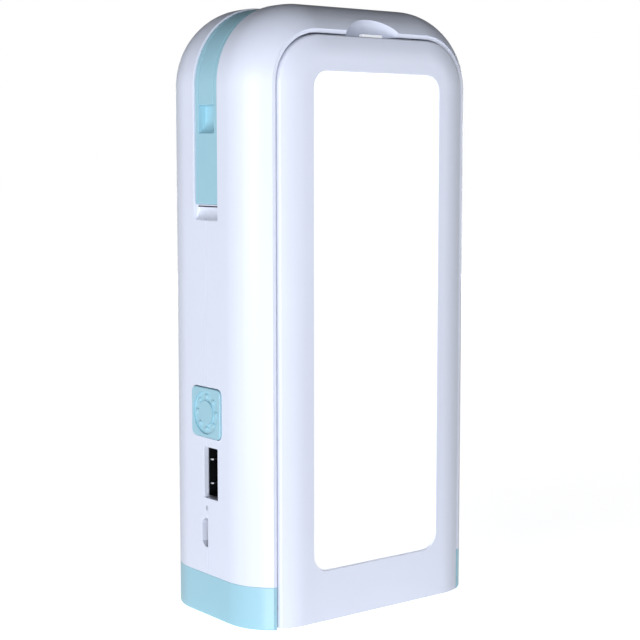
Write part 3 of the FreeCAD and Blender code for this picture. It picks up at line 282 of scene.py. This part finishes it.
strips = soften(merged("battery_strips"), 0.04 * mm)
strip_thickness = 0.2 * mm
weld_offset = 1.1 * mm
weld_profile = scaled([(0.55, -0.02), (0.45, 0.08), (0.2, 0.03), (0, 0.02)])
for hand in ("left", "right"):
    low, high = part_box(f"battery_cell_{hand}")
    foot = Vector(((low.x + high.x) / 2, (low.y + high.y) / 2, low.z))
    reach = (high.x - low.x) / 2 / mm
    tall = (high.z - low.z) / mm
    neck = reach - 0.5
    sleeve = bmesh.new()
    turned(sleeve, scaled([(7.4, 0.25), (7.5, 0.05), (8.8, 0), (reach, 0.5), (reach, tall - 5.2),
                           (neck, tall - 4.5), (neck, tall - 3.9), (reach, tall - 3.2),
                           (reach, tall - 1.5), (reach - 0.4, tall - 1), (6.3, tall - 1),
                           (6.2, tall - 1.15)]), foot, (0, 0, 1))
    piece(sleeve, f"cell_wrap_{hand}", "root", wrap, [f"battery_cell_{hand}"])
    ends = bmesh.new()
    turned(ends, scaled([(0, 0.1), (7.5, 0.1), (7.5, 0.3)]), foot, (0, 0, 1))
    turned(ends, scaled([(6.4, tall - 1.3), (4.6, tall - 1.3), (3.3, tall - 0.9),
                         (3.0, tall - 0.2), (2.8, tall), (0, tall)]), foot, (0, 0, 1))
    piece(ends, f"cell_ends_{hand}", "root", nickel)
    for across, along in ((-1, -1), (-1, 1), (1, -1), (1, 1)):
        weld = Vector((foot.x + across * weld_offset, foot.y + along * weld_offset,
                       high.z + strip_thickness))
        turned(strips, weld_profile, weld, (0, 0, 1), 16)

piece(soften(merged("battery_tray"), 0.2 * mm), "moulded_battery_tray", "root",
      black, ["battery_tray"])
piece(strips, "welded_battery_strips", "root", nickel, ["battery_strips"])


# Main board: glass fibre with green solder mask over copper tracks, which carries the circuit's
# chips, a ferrite choke and small soldered parts. It stands on two posts of the rear shell.
def printed(name, mask, track, scale):
    """A circuit board's face: solder mask with raised tracks under it."""
    material = stuff(name, mask, mask, 0.35)
    tree = material.node_tree
    shader = tree.nodes["Principled BSDF"]
    place = tree.nodes.new("ShaderNodeTexCoord")
    cells = tree.nodes.new("ShaderNodeTexVoronoi")
    cells.feature = "DISTANCE_TO_EDGE"
    cells.inputs["Scale"].default_value = scale
    tree.links.new(place.outputs["Object"], cells.inputs["Vector"])
    colours = ramp(tree, cells.outputs["Distance"], track, mask, 0.05, 0.07)
    tree.links.new(colours, shader.inputs["Base Color"])
    return material


green = printed("green_solder_mask", (0.04, 0.27, 0.15), (0.08, 0.40, 0.22), 190)
ferrite = stuff("grey_ferrite", (0.20, 0.20, 0.21), (0.25, 0.25, 0.26), 0.65, skin=0.04 * mm)
tinned = stuff("tinned_steel", (0.74, 0.75, 0.77), (0.68, 0.69, 0.71), 0.28, metal=1.0,
               grain=(1, 1, 14))
board_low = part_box("main_board")[0]
piece(soften(merged("main_board"), 0.08 * mm), "printed_main_board", "root",
      green, ["main_board"])

chip_low, chip_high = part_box("control_chip")
chip = soften(merged("control_chip"), 0.12 * mm)
mark_inset = 0.8 * mm
mark = Vector((chip_low.x + mark_inset, chip_low.y, chip_high.z - mark_inset))
turned(chip, scaled([(0.35, 0.02), (0.3, -0.05), (0, -0.05)]), mark, (0, -1, 0), 16)
piece(chip, "moulded_control_chip", "root", black, ["control_chip"])
legs = bmesh.new()
leg_pitch, first_leg = 1.27 * mm, 0.6 * mm
leg_length, leg_half, leg_thickness = 0.9 * mm, 0.2 * mm, 0.25 * mm
for row in range(4):
    height = chip_low.z + first_leg + row * leg_pitch
    for left, right in ((chip_low.x - leg_length, chip_low.x),
                        (chip_high.x, chip_high.x + leg_length)):
        block(legs, (left, chip_high.y - leg_thickness, height - leg_half),
              (right, chip_high.y, height + leg_half), 0.04 * mm)

choke_low, choke_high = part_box("choke")
choke = soften(merged("choke"), 0.5 * mm)
choke_face = Vector(((choke_low.x + choke_high.x) / 2, choke_low.y,
                     (choke_low.z + choke_high.z) / 2))
turned(choke, scaled([(2.5, -0.1), (2.4, 0.08), (2.1, 0.08), (2.0, -0.1)]), choke_face,
       (0, -1, 0))
piece(choke, "ferrite_choke", "root", ferrite, ["choke"])

# Each small part: its place on the board in millimetres across and up, width, height, thickness.
ceramic = stuff("tan_ceramic", (0.62, 0.50, 0.36), (0.68, 0.55, 0.40), 0.55)
small_parts = [(8, 43, 2.5, 3.2, 1.8), (4.6, 43.5, 1.6, 0.8, 0.5), (4.6, 45.5, 1.6, 0.8, 0.5),
               (11.5, 43, 1.6, 0.8, 0.5), (11.5, 46, 1.6, 0.8, 0.5), (22.6, 34, 0.8, 1.6, 0.5),
               (22.6, 37, 0.8, 1.6, 0.5), (22.6, 25, 0.8, 1.6, 0.5), (11, 31.3, 1.6, 0.8, 0.5),
               (14, 31.3, 1.6, 0.8, 0.5), (9, 6, 2.5, 3.2, 1.8), (12.5, 9, 1.6, 0.8, 0.5)]
end_share = 0.2
body_share = 0.97
bodies = bmesh.new()
for across, up, wide, tall, thick in small_parts:
    centre = board_low + Vector((across, -thick / 2, up)) * mm
    half = Vector((wide, thick, tall)) * mm / 2
    along = Vector((1, 0, 0)) if wide > tall else Vector((0, 0, 1))
    long_half = max(wide, tall) / 2 * mm
    end_length = max(wide, tall) * end_share * mm
    core = (half - along * end_length * 0.9) * body_share
    block(bodies, centre - core, centre + core, 0.05 * mm)
    for side in (-1, 1):
        end = centre + along * side * (long_half - end_length / 2)
        reach = half - along * (long_half - end_length / 2)
        block(legs, end - reach, end + reach, 0.07 * mm)
piece(bodies, "small_board_parts", "root", ceramic)
piece(legs, "soldered_ends_and_legs", "root", tinned)

# Output socket: folded steel shell with four bent springs that grip the plug, over a black
# moulded tongue with gilt contacts, soldered to a riser on the main board.
gilt = stuff("gilt_copper", (0.88, 0.70, 0.32), (0.84, 0.64, 0.28), 0.25, metal=1.0)
shell_steel = stuff("dark_socket_steel", (0.34, 0.345, 0.36), (0.29, 0.295, 0.31), 0.34,
                    metal=1.0, grain=(1, 1, 14))
socket_low, socket_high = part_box("output_socket_shell")
piece(soften(merged("output_socket_shell"), 0.12 * mm), "folded_output_socket", "root",
      shell_steel, ["output_socket_shell"])
sheet_wall = 0.3 * mm
spring_rise = 3.2 * mm
spring_half = 0.2 * mm
spring_sheet = 0.1 * mm
# The bend of a spring: how far in from the mouth, and how far off the shell's wall.
bend = [(0.5, 0.0), (0.7, 0.55), (0.9, 0.68), (1.1, 0.6), (4.5, 0.02)]
socket_z = (socket_low.z + socket_high.z) / 2
springs = bmesh.new()
for side, wall in ((1, socket_high.y - sheet_wall), (-1, socket_low.y + sheet_wall)):
    for offset in (-spring_rise, spring_rise):
        for (start, first), (stop, second) in zip(bend, bend[1:]):
            corners = [(start, first, -1), (start, first, 1), (stop, second, 1),
                       (stop, second, -1)]
            springs.faces.new([
                springs.verts.new((socket_low.x + run * mm, wall - side * lift * mm,
                                   socket_z + offset + sign * spring_half))
                for run, lift, sign in corners])
bmesh.ops.remove_doubles(springs, verts=springs.verts, dist=1e-7)
bmesh.ops.recalc_face_normals(springs, faces=springs.faces)
bmesh.ops.solidify(springs, geom=springs.faces[:], thickness=spring_sheet)
piece(springs, "output_socket_springs", "root", tinned)
piece(soften(merged("output_socket_insert"), 0.1 * mm), "moulded_output_tongue", "root",
      black, ["output_socket_insert"])
piece(soften(merged("output_contacts"), 0.06 * mm), "gilt_output_contacts", "root",
      gilt, ["output_contacts"])
piece(soften(merged("output_socket_riser"), 0.15 * mm), "moulded_socket_riser", "root",
      black, ["output_socket_riser"])

# Charging socket: small shell folded from steel sheet round a black moulded tongue, soldered
# to the edge of the main board.
piece(soften(merged("charging_socket_shell"), 0.06 * mm), "folded_charging_socket", "root",
      shell_steel, ["charging_socket_shell"])
piece(soften(merged("charging_socket_tongue"), 0.08 * mm), "moulded_charging_tongue", "root",
      black, ["charging_socket_tongue"])

# Charging light: polished pipe of clear plastic pressed into the left wall, with the light
# chip behind it.
clear = stuff("clear_moulding", (0.80, 0.83, 0.86), (0.84, 0.86, 0.89), 0.12)
clear.node_tree.nodes["Principled BSDF"].inputs["Transmission Weight"].default_value = 0.25
piece(soften(merged("light_pipe"), 0.15 * mm), "polished_light_pipe", "root",
      clear, ["light_pipe"])
piece(soften(merged("charging_light"), 0.12 * mm), "charging_light_chip", "root",
      clear, ["charging_light"])

# Power button: pale blue moulded cap with a sunken ring of eight domed dots, which presses a
# push switch with a folded steel front.
button_low, button_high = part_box("power_button")
button_z = (button_low.z + button_high.z) / 2
ring_floor = button_low.x + 0.5 * mm
dot_count = 8
dot_circle = 4.3 * mm
dot_profile = scaled([(0.72, -0.05), (0.7, 0.16), (0.6, 0.34), (0.36, 0.46), (0, 0.49)])
button = merged("power_button")
for index in range(dot_count):
    turn = math.tau * index / dot_count
    dot = Vector((ring_floor, dot_circle * math.sin(turn), button_z + dot_circle * math.cos(turn)))
    turned(button, dot_profile, dot, (-1, 0, 0), 20)
piece(button, "moulded_power_button", "power_button", trim_blue, ["power_button"])
piece(soften(merged("switch_plunger"), 0.15 * mm), "moulded_switch_plunger", "power_button",
      black, ["switch_plunger"])
piece(soften(merged("tact_switch"), 0.12 * mm), "moulded_tact_switch", "root",
      black, ["tact_switch"])
switch_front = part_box("tact_switch")[0].x
rivet_profile = scaled([(0.42, 0), (0.38, 0.14), (0.2, 0.2), (0, 0.21)])
rivets = bmesh.new()
for across in (-1.95, 1.95):
    for up in (-2.3, 2.3):
        rivet = Vector((switch_front, across * mm, button_z + up * mm))
        turned(rivets, rivet_profile, rivet, (-1, 0, 0), 16)
piece(rivets, "switch_rivets", "root", tinned)

# Screws: zinc-plated steel with slotted heads and rolled threads. Four join the shells from
# behind, four hold the foot from below, two the main board and six the panel's cover.
zinc = stuff("zinc_plated_steel", (0.72, 0.73, 0.76), (0.64, 0.65, 0.68), 0.30, metal=1.0)


def loose_parts(form):
    """The lowest and highest corners of each separate solid in a bmesh."""
    corners = []
    waiting = set(form.verts)
    while waiting:
        grown = [waiting.pop()]
        for vert in grown:
            for edge in vert.link_edges:
                other = edge.other_vert(vert)
                if other in waiting:
                    waiting.discard(other)
                    grown.append(other)
        corners.append((Vector([min(vert.co[i] for vert in grown) for i in range(3)]),
                        Vector([max(vert.co[i] for vert in grown) for i in range(3)])))
    return corners


def thread(shank, thickness):
    """The profile of a rolled thread on a shank, both in millimetres."""
    lead_in, plain_ends, pitch, depth = 0.7, 1.4, 0.6, 0.16
    root = thickness / 2 - 0.02
    profile = []
    for index in range(int((shank - plain_ends) / pitch)):
        height = lead_in + index * pitch
        profile += [(root, height), (thickness / 2 + depth, height + 0.2), (root, height + 0.4)]
    return scaled(profile)


# Each group: its body, the axis that its screws point along, then in millimetres the length of
# the head and of the shank, the shank's thickness and the rounding of the edges.
screw_groups = [("case_screws", "root", (0, -1, 0), 1.6, 12.0, 2.0, 0.12),
                ("base_screws", "root", (0, 0, 1), 1.6, 11.0, 2.0, 0.12),
                ("board_screws", "root", (0, 1, 0), 1.2, 6.6, 2.0, 0.12),
                ("panel_screws", "light_panel", (0, -1, 0), 0.8, 3.7, 1.5, 0.04)]
for name, body, axis, head, shank, thickness, rounding in screw_groups:
    form = merged(name)
    screws = loose_parts(form)
    soften(form, rounding * mm)
    for low, high in screws:
        along = Vector(axis)
        half_length = abs((high - low).dot(along)) / 2
        under_head = (low + high) / 2 - along * (half_length - head * mm)
        turned(form, thread(shank, thickness), under_head, axis, 24)
    piece(form, f"plated_{name}", body, zinc, [name])

# Light panel: white moulded frame with soft long sides, held at its foot by two hinge pins,
# with a small tongue at its top edge that a thumbnail catches, in a lighter white with a painted
# glow.
panel_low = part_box("panel_frame")[0]
face_edge = 2 * mm
square_foot = 4 * mm


def at_panel_front(point):
    """Whether a point lies on the edge of the window or on the outer edge of the panel's face."""
    window = point.y < panel_low.y + near
    outer = point.y < panel_low.y + face_edge and point.z > panel_low.z + square_foot
    return window or outer


def lit(material, strength):
    """Give a material a white light of its own."""
    shader = material.node_tree.nodes["Principled BSDF"]
    shader.inputs["Emission Color"].default_value = (1.0, 1.0, 1.0, 1.0)
    shader.inputs["Emission Strength"].default_value = strength
    return material


piece(soften(merged("panel_frame"), 0.1 * mm, at_panel_front), "moulded_panel_frame",
      "light_panel", shell_white, ["panel_frame"])
# The latch's lighter white and faint glow are a painted highlight that makes it look brighter than
# the frame.
latch_painted_glow = lit(stuff("latch_white_painted_glow", (0.960, 0.965, 0.975), (0.965, 0.970, 0.975), 0.3), 0.2)
piece(soften(merged("panel_latch"), 0.15 * mm), "moulded_panel_latch", "light_panel",
      latch_painted_glow, ["panel_latch"])

# Diffuser: the opal acrylic window in the panel, lit evenly from behind and held by the flange
# round it.
opal = lit(stuff("opal_acrylic", (0.965, 0.970, 0.975), (0.975, 0.975, 0.975), 0.28), 0.35)
piece(soften(merged("diffuser"), 0.2 * mm), "opal_window", "light_panel", opal,
      ["diffuser"])

# Inside the panel: a white moulded ring, an aluminium board with white solder mask and rows of
# light chips with yellow phosphor, and a white cover.
inner_white = stuff("matt_white_moulding", (0.90, 0.90, 0.90), (0.93, 0.93, 0.93), 0.6)
white_mask = printed("white_solder_mask", (0.93, 0.93, 0.92), (0.88, 0.88, 0.87), 120)
chip_white = stuff("white_chip_housing", (0.90, 0.90, 0.86), (0.94, 0.93, 0.88), 0.5)
phosphor = stuff("yellow_phosphor", (0.93, 0.80, 0.22), (0.95, 0.84, 0.30), 0.4)
piece(soften(merged("light_ring"), 0.15 * mm), "moulded_light_ring", "light_panel",
      inner_white, ["light_ring"])
piece(soften(merged("light_board"), 0.1 * mm), "printed_light_board", "light_panel",
      white_mask, ["light_board"])
chips = merged("light_chips")
lenses = bmesh.new()
lens_profile = scaled([(1.1, -0.02), (1.05, 0.04), (0.6, 0.09), (0, 0.11)])
for face in chips.faces:
    if face.normal.y < -0.99:
        turned(lenses, lens_profile, face.calc_center_median(), (0, -1, 0), 20)
soften(chips, 0.1 * mm)
piece(chips, "light_chip_housings", "light_panel", chip_white, ["light_chips"])
piece(lenses, "light_chip_lenses", "light_panel", phosphor)
piece(soften(merged("panel_cover"), 0.08 * mm), "moulded_panel_cover", "light_panel",
      inner_white, ["panel_cover"])

# Hinge of the panel: two hardened steel pins pressed into the foot's corners, each with a
# spring washer that gives the hinge its friction.
piece(soften(merged("hinge_pins"), 0.2 * mm), "turned_hinge_pins", "root", zinc,
      ["hinge_pins"])
piece(soften(merged("hinge_washers"), 0.06 * mm), "spring_washers", "root", zinc,
      ["hinge_washers"])

# Carry handle and hanging hook: pale blue moulded straps, one nested in the other, which swing
# up on steel pins at the top of the case. The lower end of each has a softer outer edge.
for strap, end_rounding in (("carry_handle", 0.5 * mm), ("hanging_hook", 0.25 * mm)):
    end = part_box(strap)[0]
    form = soften(merged(strap), end_rounding,
                  lambda point: point.z < end.z + near and point.x < end.x + near, steps=4)
    soften(form, 0.2 * mm)
    piece(form, f"moulded_{strap}", strap, trim_blue, [strap])
for pin, body in (("handle_pin", "root"), ("hook_pin", "carry_handle")):
    piece(soften(merged(pin), 0.1 * mm), f"turned_{pin}", body, zinc, [pin])

# Studio: five soft cool lights round the lamp at a plain level, most of them as high as the
# lamp is, so that its top stays darker than its sides.
daylight = (0.873, 0.915, 1.0)
middle = (cad_low + cad_high) / 2


def lamp(name, turn, rise, distance, size, power):
    """A soft oblong light that faces the middle of the object, from an angle to the left of the
    front and an angle above the level."""
    light = bpy.data.lights.new(name, "AREA")
    light.shape = "RECTANGLE"
    light.size, light.size_y = size
    light.energy = power
    light.color = daylight
    holder = bpy.data.objects.new(name, light)
    bpy.context.scene.collection.objects.link(holder)
    turn, rise = math.radians(turn), math.radians(rise)
    towards = Vector((-math.sin(turn) * math.cos(rise), -math.cos(turn) * math.cos(rise),
                      math.sin(rise)))
    holder.location = middle + towards * distance
    holder.rotation_euler = towards.to_track_quat("Z", "Y").to_euler()


lamp("table bounce", 45, -22, 1.2, (0.4, 0.5), 6.4)
lamp("left window", 76, 4, 1.2, (0.7, 0.5), 7.2)
lamp("front fill", 30, 4, 1.2, (0.5, 0.5), 3.7)
lamp("right fill", -32, 4, 1.2, (0.5, 0.5), 2.3)
lamp("rear fill", -140, -5, 1.2, (0.8, 0.6), 8.7)


# Floor and surroundings: a wide pale table top that glows softly up to white in the distance,
# and a white room that is darker overhead where the lamp's gloss mirrors it.
def combined(tree, kind, first, second):
    """The output of a node that works on two values."""
    working = tree.nodes.new("ShaderNodeMath")
    working.operation = kind
    for socket, value in zip(working.inputs, (first, second)):
        if isinstance(value, float):
            socket.default_value = value
        else:
            tree.links.new(value, socket)
    return working.outputs[0]


def graded(tree, source, start, stop, low, high):
    """A value that goes from low to high while another goes from start to stop."""
    span = tree.nodes.new("ShaderNodeMapRange")
    span.inputs["From Min"].default_value = start
    span.inputs["From Max"].default_value = stop
    span.inputs["To Min"].default_value = low
    span.inputs["To Max"].default_value = high
    tree.links.new(source, span.inputs["Value"])
    return span.outputs["Result"]


def looked_at_and_mirrored(tree):
    """Whether the camera sees a place directly, and whether it sees it in or through a surface."""
    path = tree.nodes.new("ShaderNodeLightPath")
    mirrored = combined(tree, "MAXIMUM", path.outputs["Is Glossy Ray"],
                        path.outputs["Is Transmission Ray"])
    return path.outputs["Is Camera Ray"], mirrored


floor_form = bmesh.new()
bmesh.ops.create_grid(floor_form, x_segments=1, y_segments=1, size=6)
floor_mesh = bpy.data.meshes.new("floor")
floor_form.to_mesh(floor_mesh)
floor_form.free()
floor = bpy.data.objects.new("floor", floor_mesh)
floor.location.z = -0.05 * mm
bpy.context.scene.collection.objects.link(floor)
floor.visible_shadow = False
floor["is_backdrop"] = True

pale = bpy.data.materials.new("pale_floor")
pale.use_nodes = True
tree = pale.node_tree
ground = tree.nodes["Principled BSDF"]
ground.inputs["Base Color"].default_value = (0.80, 0.80, 0.80, 1)
ground.inputs["Roughness"].default_value = 0.9
ground.inputs["Specular IOR Level"].default_value = 0.0
ground.inputs["Emission Color"].default_value = (1, 1, 1, 1)
place = tree.nodes.new("ShaderNodeTexCoord")
distance = tree.nodes.new("ShaderNodeVectorMath")
distance.operation = "LENGTH"
tree.links.new(place.outputs["Object"], distance.inputs[0])
direct, mirrored = looked_at_and_mirrored(tree)
shown = graded(tree, distance.outputs["Value"], 0.12, 0.6, 0.90, 1.0)
seen = combined(tree, "MULTIPLY", direct, shown)
reflected = combined(tree, "MULTIPLY", mirrored, 0.7)
strongest = combined(tree, "MAXIMUM", seen, reflected)
floor_glow = combined(tree, "MAXIMUM", strongest, 0.16)
tree.links.new(floor_glow, ground.inputs["Emission Strength"])
floor_mesh.materials.append(pale)

world = bpy.data.worlds.new("studio")
world.use_nodes = True
bpy.context.scene.world = world
tree = world.node_tree
sky = tree.nodes["Background"]
sky.inputs["Color"].default_value = (1, 1, 1, 1)
place = tree.nodes.new("ShaderNodeTexCoord")
aim = tree.nodes.new("ShaderNodeSeparateXYZ")
tree.links.new(place.outputs["Generated"], aim.inputs[0])
direct, mirrored = looked_at_and_mirrored(tree)
wall = graded(tree, aim.outputs["Z"], 0.0, 0.4, 0.6, 0.05)
reflected = combined(tree, "MULTIPLY", mirrored, wall)
brightness = combined(tree, "MAXIMUM", direct, reflected)
tree.links.new(brightness, sky.inputs["Strength"])

# Camera: at the photograph's viewing angle, from the front left and a little above the level,
# with the same perspective.
lens = bpy.data.cameras.new("camera")
lens.lens = 84.85
lens.clip_start = 0.02
camera = bpy.data.objects.new("camera", lens)
camera.location = (-0.2535, -0.3254, 0.1197)
camera.rotation_euler = (math.radians(84.0), 0, math.radians(-37.84))
bpy.context.scene.collection.objects.link(camera)
bpy.context.scene.camera = camera
bpy.context.scene.view_settings.view_transform = "Standard"

low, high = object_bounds()
